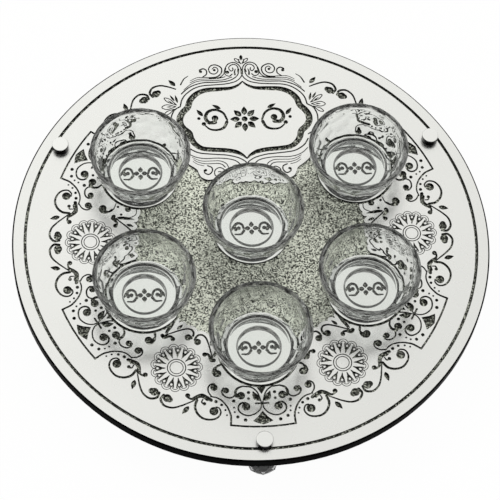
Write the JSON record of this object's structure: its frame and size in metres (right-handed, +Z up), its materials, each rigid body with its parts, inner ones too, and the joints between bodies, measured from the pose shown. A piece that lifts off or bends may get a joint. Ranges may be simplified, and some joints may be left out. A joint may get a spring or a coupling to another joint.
{
  "type": "seder plate",
  "caption": "Round mirror-faced seder plate with engraved scrollwork, faceted crystal feet held by polished caps, and loose clear glass bowls.",
  "frame": {"origin": "on the table, under the centre of the plate", "axes": "+Z up, -Y towards the front foot, +Y towards the header of the ornament"},
  "size_m": [0.3499, 0.35, 0.0733],
  "materials": {
    "black_lacquer": "black gloss lacquer on fibreboard",
    "mirror": "polished silver mirror sheet, engraved and filled with grey glitter",
    "chrome": "polished chrome plate",
    "steel": "zinc-plated M4 threaded rod",
    "clear_plastic": "translucent washer",
    "crystal": "clear cut crystal",
    "clear_rubber": "clear silicone",
    "bowl_glass": "clear pressed glass with dimpled facets outside"
  },
  "bodies": {
    "plate": {"base_disc": "black_lacquer", "mirror_plaque": "mirror", "cap_left": "chrome", "cap_washer_left": "clear_plastic", "stud_left": "steel", "foot_collar_left": "chrome", "crystal_foot_left": "crystal", "foot_pad_left": "clear_rubber", "cap_right": "chrome", "cap_washer_right": "clear_plastic", "stud_right": "steel", "foot_collar_right": "chrome", "crystal_foot_right": "crystal", "foot_pad_right": "clear_rubber", "cap_front": "chrome", "cap_washer_front": "clear_plastic", "stud_front": "steel", "foot_collar_front": "chrome", "crystal_foot_front": "crystal", "foot_pad_front": "clear_rubber"},
    "bowl_upper_left": {"bowl_upper_left": "bowl_glass"},
    "bowl_upper_right": {"bowl_upper_right": "bowl_glass"},
    "bowl_centre": {"bowl_centre": "bowl_glass"},
    "bowl_left": {"bowl_left": "bowl_glass"},
    "bowl_right": {"bowl_right": "bowl_glass"},
    "bowl_front": {"bowl_front": "bowl_glass"}
  },
  "joints": [
    {"name": "bowl_upper_left_lift", "type": "slide", "parent": "plate", "child": "bowl_upper_left", "axis": [0, 0, 1], "range_m": [0, 0.05]},
    {"name": "bowl_upper_right_lift", "type": "slide", "parent": "plate", "child": "bowl_upper_right", "axis": [0, 0, 1], "range_m": [0, 0.05]},
    {"name": "bowl_centre_lift", "type": "slide", "parent": "plate", "child": "bowl_centre", "axis": [0, 0, 1], "range_m": [0, 0.05]},
    {"name": "bowl_left_lift", "type": "slide", "parent": "plate", "child": "bowl_left", "axis": [0, 0, 1], "range_m": [0, 0.05]},
    {"name": "bowl_right_lift", "type": "slide", "parent": "plate", "child": "bowl_right", "axis": [0, 0, 1], "range_m": [0, 0.05]},
    {"name": "bowl_front_lift", "type": "slide", "parent": "plate", "child": "bowl_front", "axis": [0, 0, 1], "range_m": [0, 0.05]}
  ]
}
